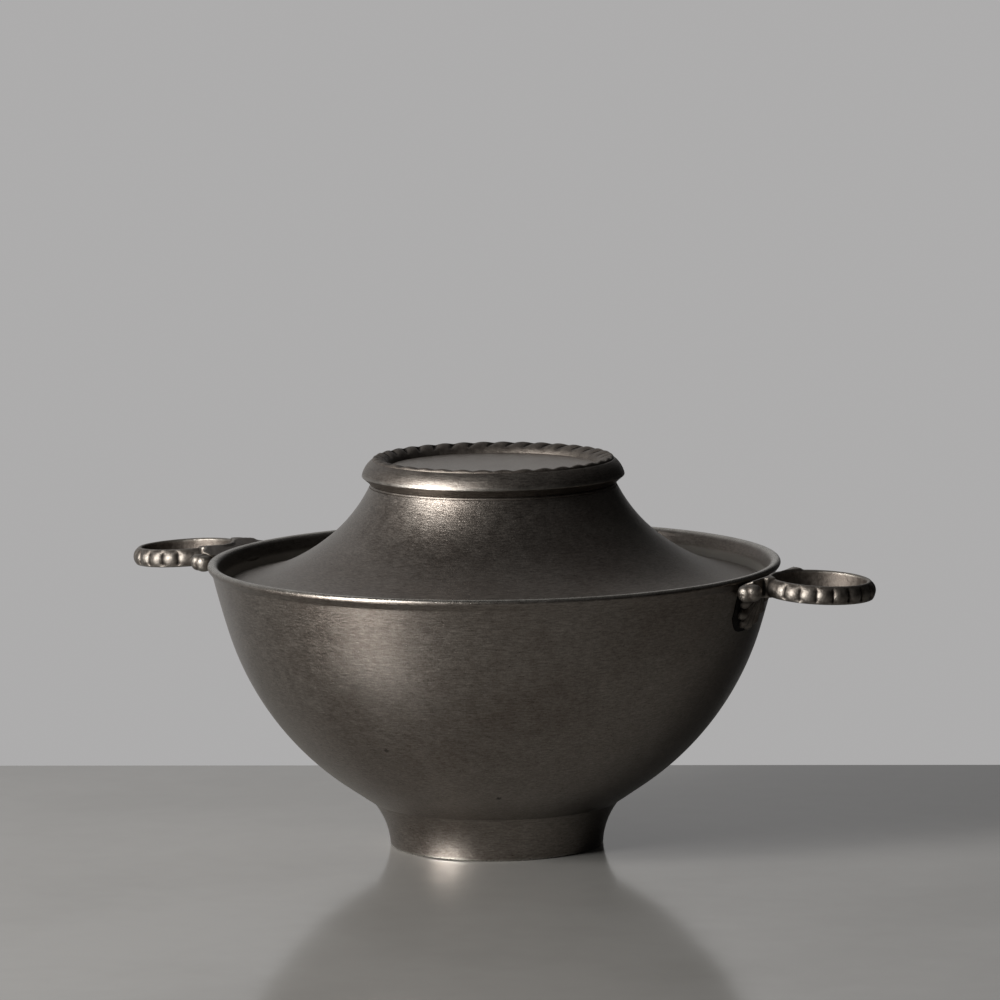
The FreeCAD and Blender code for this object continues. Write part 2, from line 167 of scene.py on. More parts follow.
def trace(start, heading, legs, step=0.6):
    """Points of a profile. A leg is (length,) for a line or (radius, turn) for an arc.

    Headings and turns are in degrees from straight up, and step is the longest piece of an arc.
    """
    points = [start]
    for leg in legs:
        r, z = points[-1]
        a = math.radians(heading)
        if len(leg) == 1:
            points.append((r + leg[0] * math.sin(a), z + leg[0] * math.cos(a)))
            continue
        radius, turn = leg
        side = math.copysign(1, turn)
        count = max(4, math.ceil(math.radians(abs(turn)) * radius / step))
        for i in range(1, count + 1):
            b = a + math.radians(turn) * i / count
            points.append((r + side * radius * (math.cos(a) - math.cos(b)),
                           z + side * radius * (math.sin(b) - math.sin(a))))
        heading += turn
    return points


def inset(start, heading, legs, distance):
    """Start and legs of the profile that runs distance to the left."""
    a = math.radians(heading)
    moved = (start[0] - distance * math.cos(a), start[1] + distance * math.sin(a))
    lines_and_arcs = [leg if len(leg) == 1 else (leg[0] + math.copysign(1, leg[1]) * distance, leg[1])
                      for leg in legs]
    return moved, lines_and_arcs


def new_group(name, sockets):
    """A geometry tree with these inputs, as (Tree, wires of the inputs by name, identifiers by name)."""
    group = bpy.data.node_groups.new(name, "GeometryNodeTree")
    group.interface.new_socket("Geometry", in_out="INPUT", socket_type="NodeSocketGeometry")
    group.interface.new_socket("Geometry", in_out="OUTPUT", socket_type="NodeSocketGeometry")
    identifiers = {}
    for label, kind in sockets:
        identifiers[label] = group.interface.new_socket(label, in_out="INPUT", socket_type=kind).identifier
    tree = Tree(group)
    start = tree.node("NodeGroupInput")
    wires = {label: start.beside(label) for label in ["Geometry", *identifiers]}
    return tree, wires, identifiers


TRACK_RADIUS = 0.05
WELD_DISTANCE = 1e-6


def lathe_group():
    """Sweeps a profile in the XZ plane round the Z axis, and keeps how far along it each point lies.

    The profile slides along a round track, which only has to be wide enough to give every point its turn.
    """
    inputs = [("Segments", "NodeSocketInt"), ("Finish", "NodeSocketMaterial")]
    tree, wires, identifiers = new_group("lathe", inputs)
    curve = tree.node("GeometryNodeMeshToCurve", None, {"Mesh": wires["Geometry"]})
    length = tree.node("GeometryNodeSplineParameter").beside("Length")
    marked = tree.node("GeometryNodeStoreNamedAttribute", {"data_type": "FLOAT", "domain": "POINT"},
                       {"Geometry": curve, "Name": "along", "Value": length / MM})
    x, _, z = tree.split(tree.node("GeometryNodeInputPosition"))
    laid = tree.node("GeometryNodeSetPosition", None,
                     {"Geometry": marked, "Position": tree.join(x - TRACK_RADIUS, 0 - z, 0.0)})
    track = tree.node("GeometryNodeCurvePrimitiveCircle", None,
                      {"Resolution": wires["Segments"], "Radius": TRACK_RADIUS})
    level = tree.node("GeometryNodeSetCurveNormal", {"mode": "Z_UP"}, {"Curve": track})
    swept = tree.node("GeometryNodeCurveToMesh", None, {"Curve": level, "Profile Curve": laid})
    welded = tree.node("GeometryNodeMergeByDistance", None, {"Geometry": swept, "Distance": WELD_DISTANCE})
    real = tree.node("GeometryNodeRealizeInstances", None, {"Geometry": welded})
    coated = tree.node("GeometryNodeSetMaterial", None, {"Geometry": real, "Material": wires["Finish"]})
    tree.node("NodeGroupOutput", None, {0: coated})
    return tree.nodes, identifiers


LATHE, LATHE_INPUTS = lathe_group()


def settle(obj, smooth_angle=40.0):
    """Turns what the object's modifiers make into its own plain mesh, with its faces outwards."""
    graph = bpy.context.evaluated_depsgraph_get()
    made = obj.evaluated_get(graph)
    mesh = bpy.data.meshes.new_from_object(made, preserve_all_data_layers=True, depsgraph=graph)
    obj.modifiers.clear()
    obj.data = mesh
    work = bmesh.new()
    work.from_mesh(mesh)
    bmesh.ops.recalc_face_normals(work, faces=work.faces)
    work.to_mesh(mesh)
    work.free()
    mesh.shade_smooth()
    mesh.set_sharp_from_angle(angle=math.radians(smooth_angle))
    return obj


def add_object(name, mesh):
    obj = bpy.data.objects.new(name, mesh)
    bpy.context.scene.collection.objects.link(obj)
    return obj


def turn(name, outline, finish, closed=False, segments=240, ribbed=None):
    """A piece turned on the lathe. A closed outline makes a ring, and an open one ends on the axis.

    ribbed says for each point of the outline how deeply gadroon presses it.
    """
    edges = [(i, i + 1) for i in range(len(outline) - 1)]
    if closed:
        edges.append((len(outline) - 1, 0))
    mesh = bpy.data.meshes.new(name)
    mesh.from_pydata([(r * MM, 0.0, z * MM) for r, z in outline], edges, [])
    if ribbed is not None:
        mesh.attributes.new("ribbed", "FLOAT", "POINT").data.foreach_set("value", ribbed)
    obj = add_object(name, mesh)
    lathe = obj.modifiers.new("lathe", "NODES")
    lathe.node_group = LATHE
    lathe[LATHE_INPUTS["Segments"]] = segments
    lathe[LATHE_INPUTS["Finish"]] = finish
    return settle(obj)


def place(obj, body, slot, *nodes):
    """Lets a finished piece ride on its body in place of its CAD nodes."""
    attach(obj, body)
    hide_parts(*nodes)


def new_finish(name):
    """An empty metal finish, as (material, Tree, shader node, object coordinates in millimetres)."""
    finish = bpy.data.materials.new(name)
    finish.use_nodes = True
    finish.node_tree.nodes.clear()
    tree = Tree(finish.node_tree)
    shader = tree.node("ShaderNodeBsdfPrincipled", None, {"Metallic": 1.0})
    tree.node("ShaderNodeOutputMaterial", None, {"Surface": shader})
    metres = tree.node("ShaderNodeTexCoord", out="Object")
    place_mm = tree.node("ShaderNodeVectorMath", {"operation": "SCALE"}, {0: metres, "Scale": 1 / MM})
    return finish, tree, shader.socket.node, place_mm


def wire_in(tree, shader, colour, roughness, height, depth):
    """Colour, roughness and relief into the shader. A height of 1 stands for depth in millimetres."""
    relief = tree.node("ShaderNodeBump", None, {"Strength": 1.0, "Distance": depth * MM, "Height": height})
    for name, wire in (("Base Color", colour), ("Roughness", roughness), ("Normal", relief)):
        tree.nodes.links.new(wire.socket, shader.inputs[name])


DEEP_PATINA = (0.150, 0.127, 0.110)
THIN_PATINA = (0.235, 0.213, 0.191)
RUBBED_PEWTER = (0.44, 0.42, 0.385)
SPECK = (0.03, 0.027, 0.025)
SPUN_ROUGHNESS = 0.345
SPUN_RELIEF = 0.045
LINE_SQUEEZE = 9.0
SCRAPE_SQUEEZE = 3.2
LINE_SCALE = 0.42
SCRAPE_SCALE = 0.9
CLOUD_SCALE = 0.04
MOTTLE_SCALE = 0.36
GRAIN_SCALE = 3.4
WEAR_FLOOR = 0.6
PIT_SPREAD = 0.2
PIT_RADIUS = 0.045
PIT_EDGE = 0.02
AXIS_GUARD = 0.01
INSIDE_FADE = 1.0


def spun_pewter(name, streak_radius, rubbed=None, spots=(), tone=1.0, gloss=0.0, inside_from=None):
    """Turned pewter, with marks that run round it and specks and tarnish over them.

    The marks are noise that is squeezed along the profile, so that it draws out round the piece.

    rubbed is (what, low, high, share): worn bright by share as the radius or height goes from low to high.
    spots are dark stains as (centre, size, strength). Past inside_from, a length along the profile, the metal
    is the paler and duller inside of the piece.
    """
    finish, tree, shader, position = new_finish(name)
    x, y, z = tree.split(position)
    radius = (x * x + y * y + AXIS_GUARD) ** 0.5
    along = tree.node("ShaderNodeAttribute", {"attribute_name": "along"}, out="Fac")
    round_x, round_y = x / radius * streak_radius, y / radius * streak_radius
    lines = tree.noise(tree.join(round_x, round_y, along * LINE_SQUEEZE), LINE_SCALE, 4.0, 0.7)
    scrapes = tree.noise(tree.join(round_x, round_y, along * SCRAPE_SQUEEZE), SCRAPE_SCALE, 2.0, 0.6)
    clouds = tree.noise(position, CLOUD_SCALE, 2.0)
    mottle = tree.noise(position, MOTTLE_SCALE, 2.0, 0.6)
    grain = tree.noise(position, GRAIN_SCALE, 2.0, 0.7)
    tarnish = clouds.step(0.3, 0.7) * 0.5 + mottle.step(0.3, 0.7) * 0.26 + scrapes.step(0.35, 0.65) * 0.24
    colour = tree.blend(tarnish, DEEP_PATINA, THIN_PATINA)
    shade = (grain - 0.5) * 0.9 + (lines - 0.5) * 1.1 + (scrapes - 0.5) * 0.5 + tone
    colour = tree.blend(1.0, colour, tree.join(shade, shade, shade), "MULTIPLY")
    roughness = SPUN_ROUGHNESS - gloss + (mottle - 0.5) * 0.10 + (lines - 0.5) * 0.22 + (grain - 0.5) * 0.2
    pits = tree.node("ShaderNodeTexVoronoi", {"feature": "F1"}, {"Vector": position, "Scale": PIT_SPREAD})
    pit = (tree.noise(position, 0.11, 1.0).step(0.5, 0.8) * PIT_RADIUS - pits).step(0.0, PIT_EDGE)
    colour = tree.blend(pit, colour, SPECK)
    for centre, size, strength in spots:
        away = tree.node("ShaderNodeVectorMath", {"operation": "DISTANCE"},
                         {0: position, 1: centre}, out="Value")
        ragged = away + (grain - 0.5) * size
        colour = tree.blend(ragged.step(size, size * 0.35) * strength, colour, SPECK)
    if rubbed is not None:
        what, low, high, share = rubbed
        edge = {"radius": radius, "height": z}[what].step(low, high) * share
        worn = edge * (WEAR_FLOOR + mottle.step(0.3, 0.7) * (1 - WEAR_FLOOR))
        colour = tree.blend(worn, colour, RUBBED_PEWTER)
        roughness = roughness - worn * 0.10
    if inside_from is not None:
        inside = along.step(inside_from, inside_from + INSIDE_FADE)
        colour = tree.blend(inside * 0.85, colour, RUBBED_PEWTER)
        roughness = roughness + inside * 0.18
    height = lines * 0.9 + grain * 0.8 + scrapes * 0.5 + mottle * 0.3 - pit * 0.8
    wire_in(tree, shader, colour, roughness, height, SPUN_RELIEF)
    return finish


BOWL_CENTRE = (0.0, BOWL_BASE_Z)
BOWL_LEGS = [(FLAT_RADIUS,), (KNUCKLE_RADIUS, FLANK_HEADING - 90.0), (FLANK_LENGTH,),
             (BELLY_RADIUS, -BELLY_TURN), (SIDE_RADIUS, -SIDE_TURN)]
BOWL_SIDE = trace(BOWL_CENTRE, 90.0, BOWL_LEGS)


def bowl_outline():
    """From the centre of the base out, over the lip and back down inside."""
    wall_top = BOWL_SIDE[-1]
    slope = math.radians(SIDE_HEADING + FLARE_TURN)
    flare_out = FLARE_RADIUS * (math.cos(math.radians(SIDE_HEADING)) - math.cos(slope))
    edge = (LIP_RADIUS - wall_top[0] - flare_out - LIP_BEAD_RADIUS * (1 - math.cos(slope))) / math.sin(slope)
    lip = [(FLARE_RADIUS, FLARE_TURN), (edge,), (LIP_BEAD_RADIUS, -90.0 - SIDE_HEADING - FLARE_TURN),
           (LIP_INNER_RADIUS, SIDE_HEADING - 90.0)]
    outside = BOWL_SIDE[:-1] + trace(wall_top, SIDE_HEADING, lip, LIP_STEP)
    base, legs = inset(BOWL_CENTRE, 90.0, BOWL_LEGS, BOWL_WALL)
    return outside + trace(base, 90.0, legs)[::-1]


bowl_finish = spun_pewter("bowl_pewter", 56.0, LIP_RUBBED, (PIT_IN_WALL, SCRATCH_IN_WALL),
                          inside_from=INSIDE_FROM)
bowl = turn("bowl_spun", bowl_outline(), bowl_finish, segments=BOWL_SEGMENTS)
place(bowl, "bowl", "pewter_shell", "bowl_shell")


# ==== foot ring =================================================================================
# A low hollow-sided ring, spun from a strip and soldered under the bowl. Its joint outside was dressed down
# to a soft hollow, and inside a fillet of solder still shows. The edge it stands on is worn flat.
FOOT_RADIUS = 22.4
FOOT_WALL = 1.6
FOOT_CURVE = 16.3
FOOT_HEADING = 4.0
FOOT_TURN = 43.0
FOOT_INNER_TURN = 29.0
FOOT_EDGE_ROUND = 0.25
FOOT_STEP = 0.4
FOOT_RUBBED = ("height", 0.7, 0.1, 0.8)
FILLET_TOE = 0.9
FILLET_BITE = 0.3
FILLET_REACH = 1.6
FILLET_LAP = 0.1
FILLET_DROP = 0.6
DULL_SOLDER = (0.16, 0.152, 0.143)
FLUX_SHADE = 0.35
SOLDER_RELIEF = 0.12


def foot_outline():
    """Closed section of the ring, run a little way up into the bowl's wall so that no gap shows."""
    outer_start = (FOOT_RADIUS, FOOT_EDGE_ROUND)
    outside = trace(outer_start, FOOT_HEADING, [(FOOT_CURVE, FOOT_TURN)], FOOT_STEP)
    start, legs = inset(outer_start, FOOT_HEADING, [(FOOT_CURVE, FOOT_INNER_TURN)], FOOT_WALL)
    inside = trace(start, FOOT_HEADING, legs, FOOT_STEP)
    edge = [(start[0] + FOOT_EDGE_ROUND, 0.0), (FOOT_RADIUS - FOOT_EDGE_ROUND, 0.0)]
    return outside + inside[::-1] + edge


foot_finish = spun_pewter("foot_pewter", 24.0, FOOT_RUBBED)
foot = turn("foot_spun", foot_outline(), foot_finish, closed=True)
place(foot, "bowl", "pewter_shell", "foot_ring")


def solder_finish(name, bright):
    """Tin solder, lumpy and dark with flux."""
    finish, tree, shader, position = new_finish(name)
    lumps = tree.noise(position, 0.9, 3.0)
    colour = tree.blend(lumps.step(0.35, 0.7), tuple(FLUX_SHADE * c for c in bright), bright)
    wire_in(tree, shader, colour, 0.42 + lumps * 0.3, lumps, SOLDER_RELIEF)
    return finish


solder = solder_finish("dull_solder", DULL_SOLDER)
fillet_low, fillet_high = (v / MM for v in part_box("foot_solder"))
fillet_outline = [(fillet_high.x - FILLET_TOE, fillet_low.z), (fillet_high.x + FILLET_BITE, fillet_high.z),
                  (fillet_high.x - FILLET_REACH, fillet_high.z + FILLET_LAP),
                  (fillet_high.x - FILLET_REACH, fillet_high.z - FILLET_DROP)]
fillet = turn("foot_fillet", fillet_outline, solder, closed=True)
place(fillet, "bowl", "solder", "foot_solder")


# ==== lid seat ==================================================================================
# A narrow flat ledge inside the mouth, turned from plate and soldered to the wall. The brim of the lid rests
# on it, so it is hidden while the lid is on.
ledge_low, ledge_high = (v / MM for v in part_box("lid_seat_ring"))
LEDGE_INNER = 53.5
LEDGE_ROUND = 0.15


def flat_ring(inner, outer, low, high, rounding):
    """Section of a flat ring with softened corners."""
    return [(inner, low + rounding), (inner + rounding, low),
            (outer - rounding, low), (outer, low + rounding),
            (outer, high - rounding), (outer - rounding, high),
            (inner + rounding, high), (inner, high - rounding)]


inner_finish = spun_pewter("inner_pewter", 50.0, tone=0.8)
ledge_outline = flat_ring(LEDGE_INNER, ledge_high.x, ledge_low.z, ledge_high.z, LEDGE_ROUND)
ledge = turn("lid_ledge", ledge_outline, inner_finish, closed=True, segments=BOWL_SEGMENTS)
place(ledge, "bowl", "pewter_shell", "lid_seat_ring")


# ==== handles ===================================================================================
# Each handle is one casting: a finger ring with convex ribs round its outside, on a yoke that hugs the wall
# under the lip and ends in two rolled volutes. The hollows stay dark, and fingers have rubbed the ribs and
# the volutes. The left handle was soldered on a little out of line with the right one.
RING_CENTRE = (73.1, 57.9)
RING_DROOP = 3.3
RING_BORE = 8.7
RING_CREST = 9.75
RING_OUTER = 11.6
RING_HALF_HEIGHT = 1.925
RIB_COUNT = 20
RIB_DEPTH = 0.62
RIB_REACH = 116.0
VOLUTE_SPREAD = 11.6
VOLUTE_RADIUS_AT = 63.5
VOLUTE_RADIUS = 1.72
VOLUTE_RUN = 1.3
VOLUTE_LOW_Z = 56.0
VOLUTE_HIGH_Z = 59.35
VOLUTE_WAIST = 1.5
VOLUTE_FOOT_ROUND = 0.42
VOLUTE_TOP_ROUND = 0.3
YOKE_LOW_Z = 56.35
YOKE_SEAM_Z = 58.95
YOKE_CREST_Z = 60.2
YOKE_ROOT_RADIUS = 57.0
YOKE_ROOT_HALF = 8.3
YOKE_WRAP = 48
YOKE_CREST_INSET = 1.5
YOKE_CLIMB = 4.0
YOKE_VOXEL = 0.16
CAST_VOXEL = 0.11
RIB_FADE = 0.12
RIB_FACETS = 20
HANDLE_TURNS = {"right": 0.0, "left": 178.8}


def arc(first, middle, last, count):
    """Points of the arc through three points of a section, without its last."""
    (ax, ay), (bx, by), (cx, cy) = first, middle, last
    d = 2 * (ax * (by - cy) + bx * (cy - ay) + cx * (ay - by))
    a2, b2, c2 = ax * ax + ay * ay, bx * bx + by * by, cx * cx + cy * cy
    ux = (a2 * (by - cy) + b2 * (cy - ay) + c2 * (ay - by)) / d
    uy = (a2 * (cx - bx) + b2 * (ax - cx) + c2 * (bx - ax)) / d
    radius = math.hypot(ax - ux, ay - uy)
    start, through, end = (math.atan2(p[1] - uy, p[0] - ux) for p in (first, middle, last))
    sweep = (end - start) % math.tau
    if (through - start) % math.tau > sweep:
        sweep -= math.tau
    angles = [start + sweep * i / count for i in range(count)]
    return [(ux + radius * math.cos(a), uy + radius * math.sin(a)) for a in angles]


def gadroon_group():
    """Presses a row of convex ribs into a turned ring, as deep as its attribute ribbed says."""
    tree, wires, identifiers = new_group("gadroon", [
        ("Count", "NodeSocketFloat"), ("Depth", "NodeSocketFloat"), ("Twist", "NodeSocketFloat"),
        ("Reach", "NodeSocketFloat"), ("Sharpness", "NodeSocketFloat")])
    x, y, _ = tree.split(tree.node("GeometryNodeInputPosition"))
    angle = x.sum("ARCTAN2", y, x)
    weight = tree.node("GeometryNodeInputNamedAttribute", {"data_type": "FLOAT"}, {"Name": "ribbed"})
    along = tree.node("GeometryNodeInputNamedAttribute", {"data_type": "FLOAT"}, {"Name": "along"})
    turns = angle * wires["Count"] / math.tau + along * wires["Twist"]
    across = (turns.sum("FRACT", turns) * 2 - 1) * wires["Sharpness"]
    valley = 1 - (1 - across * across) ** 0.5
    deepest = 1 - (1 - wires["Sharpness"] * wires["Sharpness"]) ** 0.5
    reach = angle.sum("ABSOLUTE", angle).step(wires["Reach"] + RIB_FADE, wires["Reach"])
    sunk = valley / deepest * wires["Depth"] * weight * reach * -MM
    normal = tree.node("GeometryNodeInputNormal")
    offset = tree.node("ShaderNodeVectorMath", {"operation": "SCALE"}, {0: normal, "Scale": sunk})
    pressed = tree.node("GeometryNodeSetPosition", None, {"Geometry": wires["Geometry"], "Offset": offset})
    real = tree.node("GeometryNodeRealizeInstances", None, {"Geometry": pressed})
    tree.node("NodeGroupOutput", None, {0: real})
    return tree.nodes, identifiers


GADROON, GADROON_INPUTS = gadroon_group()


def gadroon(obj, count, depth, twist=0.0, reach=360.0, sharpness=0.94):
    """Ribs a turned ring. The ribs stop at reach degrees either side of +X, and twist leans them."""
    press = obj.modifiers.new("gadroon", "NODES")
    press.node_group = GADROON
    values = {"Count": float(count), "Depth": depth, "Twist": twist, "Reach": math.radians(reach),
              "Sharpness": sharpness}
    for label, value in values.items():
        press[GADROON_INPUTS[label]] = value
    return settle(obj, 60.0)


def finger_ring(name, finish):
    """The ribbed ring in its own frame, with its root towards -X."""
    h = RING_HALF_HEIGHT
    inner_low, inner_high = (RING_BORE, -h + 0.2), (RING_CREST - 0.1, h - 0.35)
    crest_out, foot_out = (RING_CREST + 0.85, h - 0.25), (RING_OUTER - 0.55, -h + 0.22)
    in_bore, on_crest = ((RING_BORE + RING_CREST) / 2 + 0.1, -0.1), (RING_CREST + 0.35, h)
    on_ribs, under_ring = (RING_OUTER, -0.15), ((RING_BORE + RING_OUTER) / 2, -h)
    stretches = [(arc(inner_low, in_bore, inner_high, 14), 0.0),
                 (arc(inner_high, on_crest, crest_out, 8), 0.0),
                 (arc(crest_out, on_ribs, foot_out, 22), 1.0),
                 (arc(foot_out, under_ring, inner_low, 8), 0.0)]
    outline, ribbed = [], []
    for points, weight in stretches:
        for i, point in enumerate(points):
            outline.append(point)
            ribbed.append(weight * min(1.0, 4.0 * i / len(points), 6.0 * (1 - i / len(points))))
    ring = turn(name, outline, finish, closed=True, segments=RIB_FACETS * RIB_COUNT, ribbed=ribbed)
    return gadroon(ring, RIB_COUNT, RIB_DEPTH, reach=RIB_REACH)


def yoke_mesh(name):
    """The plate between the wall and the ring. Its top climbs from under the lip to the ring's crest."""
    spread = math.radians(VOLUTE_SPREAD)
    tip = (VOLUTE_RADIUS_AT * math.cos(spread), VOLUTE_RADIUS_AT * math.sin(spread))
    root = (YOKE_ROOT_RADIUS, YOKE_ROOT_HALF)
    behind_volute = arc(root, (root[0] + 2.6, root[1] + 0.9), (tip[0] - 0.9, tip[1] - 0.7), 8)
    notch = (tip[0] + 2.0, tip[1] - 4.3)
    front = arc((tip[0] + 0.9, tip[1] - 1.3), (tip[0] + 1.5, tip[1] - 2.8), notch, 6)
    on_ring = (notch[0] + 0.9, notch[1] - 0.1)
    wrapped = [math.radians(a) for a in range(YOKE_WRAP, -YOKE_WRAP - 1, -8)]
    across_ring = [(RING_CENTRE[0] - RING_CREST * math.cos(a), RING_CREST * math.sin(a)) for a in wrapped]
    half = behind_volute + front + [notch, on_ring]
    plan = half + across_ring + [(x, -y) for x, y in half[::-1]]
    rise = (YOKE_CREST_Z - YOKE_SEAM_Z) / (RING_CENTRE[0] - RING_OUTER + YOKE_CREST_INSET - LIP_RADIUS)
    mesh = bpy.data.meshes.new(name)
    low = [(x, y, YOKE_LOW_Z) for x, y in plan]
    high = [(x, y, YOKE_SEAM_Z + rise * min(x - LIP_RADIUS, YOKE_CLIMB)) for x, y in plan]
    count = len(plan)
    sides = [(i, (i + 1) % count, count + (i + 1) % count, count + i) for i in range(count)]
    caps = [tuple(range(count))[::-1], tuple(range(count, 2 * count))]
    mesh.from_pydata([tuple(c * MM for c in p) for p in low + high], [], sides + caps)
    return mesh


def volute(name, finish):
    """A short barrel with well rounded rims. Two of them, run together, make one rolled end."""
    r, low, high = VOLUTE_RADIUS, VOLUTE_LOW_Z, VOLUTE_HIGH_Z
    waist = (r, low + VOLUTE_WAIST)
    outline = (arc((0.0, low), (r - VOLUTE_FOOT_ROUND, low + VOLUTE_FOOT_ROUND), waist, 10)
               + arc(waist, (r - VOLUTE_TOP_ROUND, high - VOLUTE_TOP_ROUND), (0.0, high), 10) + [(0.0, high)])
    return turn(name, outline, finish, segments=48)


def merge_cast(name, pieces, voxel, passes):
    """Pieces run together into one skin, as metal does in the mould, and softened by passes of smoothing."""
    joined = bmesh.new()
    for piece in pieces:
        joined.from_mesh(piece)
    bmesh.ops.recalc_face_normals(joined, faces=joined.faces)
    mesh = bpy.data.meshes.new(name)
    joined.to_mesh(mesh)
    joined.free()
    obj = add_object(name, mesh)
    skin = obj.modifiers.new("skin", "REMESH")
    skin.mode = "VOXEL"
    skin.voxel_size = voxel * MM
    soften = obj.modifiers.new("soften", "SMOOTH")
    soften.factor = 0.5
    soften.iterations = passes
    return settle(obj, 180.0)


def mark_hollows(mesh, passes):
    """Stores how far each point lies under (+) or over (-) the mesh with its relief rubbed away."""
    count = len(mesh.vertices)
    co = np.empty(count * 3)
    mesh.vertices.foreach_get("co", co)
    co = co.reshape(-1, 3)
    normals = np.empty(count * 3)
    mesh.vertex_normals.foreach_get("vector", normals)
    edges = np.empty(len(mesh.edges) * 2, dtype=np.int64)
    mesh.edges.foreach_get("vertices", edges)
    a, b = edges[0::2], edges[1::2]
    links = np.bincount(a, minlength=count) + np.bincount(b, minlength=count)
    flat = co.copy()
    for _ in range(passes):
        for axis in range(3):
            column = flat[:, axis]
            total = np.bincount(a, column[b], count) + np.bincount(b, column[a], count)
            flat[:, axis] = total / np.maximum(links, 1)
    under = ((flat - co) * normals.reshape(-1, 3)).sum(1) / MM
    mesh.attributes.new("hollow", "FLOAT", "POINT").data.foreach_set("value", under.astype(np.float32))


CAST_DARK = (0.080, 0.067, 0.058)
CAST_LIGHT = (0.160, 0.140, 0.123)
CAST_RUBBED = (0.27, 0.248, 0.222)
CAST_ROUGHNESS = 0.51
CAST_RELIEF = 0.10
CAST_MOTTLE_SCALE = 0.7
CAST_GRAIN_SCALE = 4.0
HOLLOW_SPAN = 0.05


def cast_pewter(name, crest_span=0.07, bright=1.0):
    """Cast pewter: dark in the hollows, rubbed bright on what stands up, with a faint skin from the mould.

    Points that stand up by crest_span millimetres are rubbed in full, as brightly as bright says.
    """
    finish, tree, shader, position = new_finish(name)
    hollow = tree.node("ShaderNodeAttribute", {"attribute_name": "hollow"}, out="Fac")
    mottle = tree.noise(position, CAST_MOTTLE_SCALE, 3.0, 0.65)
    grain = tree.noise(position, CAST_GRAIN_SCALE, 2.0, 0.7)
    shade = mottle.step(0.3, 0.7) * 0.7 + grain.step(0.3, 0.7) * 0.3
    colour = tree.blend(shade, CAST_DARK, CAST_LIGHT)
    worn = (0 - hollow + (mottle - 0.5) * 0.08).step(0.0, crest_span) * bright
    colour = tree.blend(worn * 0.8, colour, CAST_RUBBED)
    sunk = (hollow + (grain - 0.5) * 0.02).step(0.0, HOLLOW_SPAN)
    colour = tree.blend(sunk * 0.92, colour, SPECK)
    roughness = CAST_ROUGHNESS - worn * 0.1 + sunk * 0.25 + (mottle - 0.5) * 0.3 + (grain - 0.5) * 0.25
    wire_in(tree, shader, colour, roughness, grain * 0.8 + mottle, CAST_RELIEF)
    return finish


def turn_round(obj, degrees):
    """Turns a piece made for the right side of the bowl round to its place."""
    obj.data.transform(Matrix.Rotation(math.radians(degrees), 4, "Z"))


def handle_casting(name, finish):
    """Ring, yoke and volutes as one skin, on the right side of the bowl.

    A volute is two barrels side by side, of which the outer one stands a little closer in and higher.
    """
    yoke_pieces = [yoke_mesh(name + "_plate")]
    for side in (-1, 1):
        angle = side * math.radians(VOLUTE_SPREAD)
        centre = Vector((VOLUTE_RADIUS_AT * math.cos(angle), VOLUTE_RADIUS_AT * math.sin(angle), 0))
        for run in (0.0, VOLUTE_RUN):
            roll = volute(name + "_volute", finish)
            roll.data.transform(Matrix.Translation((centre + Vector((run, -side * run / 4, run / 8))) * MM))
            yoke_pieces.append(roll.data)
            bpy.data.objects.remove(roll)
    yoke = merge_cast(name + "_yoke", yoke_pieces, YOKE_VOXEL, 12)
    ring = finger_ring(name + "_ring", finish)
    tilt = Matrix.Translation(Vector((RING_CENTRE[0], 0, RING_CENTRE[1])) * MM)
    ring.data.transform(tilt @ Matrix.Rotation(math.radians(RING_DROOP), 4, "Y"))
    casting = merge_cast(name, [ring.data, yoke.data], CAST_VOXEL, 3)
    bpy.data.objects.remove(ring)
    bpy.data.objects.remove(yoke)
    mark_hollows(casting.data, 22)
    casting.data.materials.clear()
    casting.data.materials.append(finish)
    return casting


handle_finish = cast_pewter("cast_pewter")
for word, turn_by in HANDLE_TURNS.items():
    casting = handle_casting("handle_cast_" + word, handle_finish)
    turn_round(casting, turn_by)
    place(casting, "bowl", "pewter_casting", "handle_" + word)


# ==== palmettes =================================================================================
# Under each handle a small cast fan lies against the wall: seven flutes that spread from under the yoke to a
# scalloped edge. The fan stands proud at its top and is bedded, like the yoke, in solder whose near-black
# colour is painted shade round the fan as well as dark solder.
FLUTES = 7
FLUTE_STEP = 22.0
FLUTE_LENGTH = 9.0
FLUTE_SIDE_SHARE = 0.62
FLUTE_ROOT = 0.7
FLUTE_TIP = 1.2
FLUTE_CAP = 0.6
FLUTE_SWELL = 0.8
FAN_TOP_Z = 57.0
FAN_PROUD = 0.9
FAN_FALL = 0.085
PALMETTE_VOXEL = 0.09
BED_HALF = 7.9
BED_TOP_Z = 58.9
BED_DROP = 9.4
BED_PROUD = 0.16
BED_SUNK = 0.5
BED_CORNER = 3.4
BED_TOP_BEVEL = 0.1
BED_LOW_BEVEL = 0.3
BED_FACE = 4.0
WALL_PROBE = 0.5
# Near-black: the colour of dark solder, deepened as painted shade on the wall round the fan.
BLACK_SOLDER_AND_SHADE = (0.03, 0.027, 0.025)


def on_wall(across, down, proud):
    """Places on the bowl's right side, from millimetres round it, down from the fan's top, and out of it."""
    side = np.array(BOWL_SIDE[::-1])
    steps = np.hypot(*np.diff(side, axis=0).T)
    run = np.concatenate([[0.0], np.cumsum(steps)])
    run -= np.interp(-FAN_TOP_Z, -side[:, 1], run)
    down = np.clip(down, run[0], run[-1] - WALL_PROBE)
    r, z = (np.interp(down, run, column) for column in side.T)
    further_r, further_z = (np.interp(down + WALL_PROBE, run, column) for column in side.T)
    length = np.hypot(further_r - r, further_z - z)
    r = r + proud * (z - further_z) / length
    z = z + proud * (further_r - r + proud * (z - further_z) / length) / length
    angle = across / LIP_RADIUS
    return np.stack([r * np.cos(angle), r * np.sin(angle), z], axis=1)


